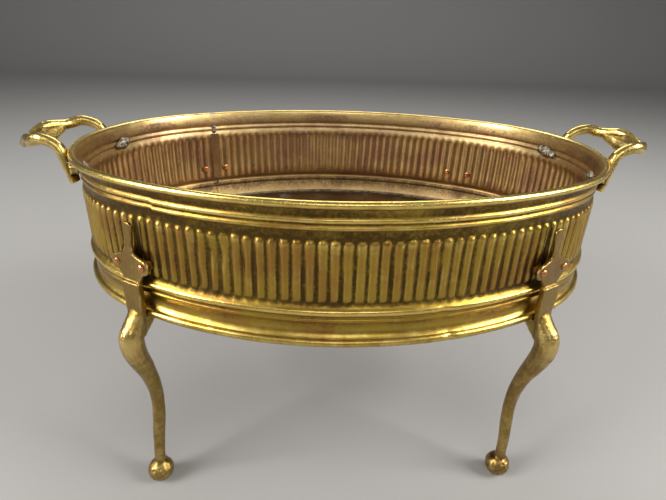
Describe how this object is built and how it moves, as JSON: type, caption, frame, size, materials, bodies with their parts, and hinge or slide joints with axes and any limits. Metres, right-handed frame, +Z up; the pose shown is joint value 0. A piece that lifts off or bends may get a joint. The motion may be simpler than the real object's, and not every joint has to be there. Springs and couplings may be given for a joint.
{
  "type": "footed oval planter pot",
  "caption": "Oval jardiniere of beaded and fluted brass sheet with a flat bottom, cast bow handles and riveted cabriole legs, for standing plants indoors.",
  "frame": {"origin": "on the ground under the middle of the pot", "axes": "+X along the long axis through both handles, -Y towards the front, +Z up"},
  "size_m": [0.56, 0.33, 0.2814],
  "materials": {
    "sheet_brass": "aged, rubbed bright on rim, beads and flutes",
    "cast_brass": "aged casting, matt in the plates and worn on knees and handles",
    "copper": "hammered copper rivet",
    "solder": "dull soft solder",
    "wire": "iron wire hidden in the rolls"
  },
  "bodies": {
    "root": {"body_wall": "sheet_brass", "rim_wire": "wire", "foot_wire": "wire", "bottom_plate": "sheet_brass", "bottom_solder": "solder", "seam_strap": "sheet_brass", "seam_solder": "solder", "leg_front_left": "cast_brass", "leg_front_right": "cast_brass", "leg_back_left": "cast_brass", "leg_back_right": "cast_brass", "rivets_front_left": "copper", "rivets_front_right": "copper", "rivets_back_left": "copper", "rivets_back_right": "copper", "handle_left": "cast_brass", "handle_right": "cast_brass", "solder_left_front": "solder", "solder_left_back": "solder", "solder_right_front": "solder", "solder_right_back": "solder"}
  },
  "joints": []
}
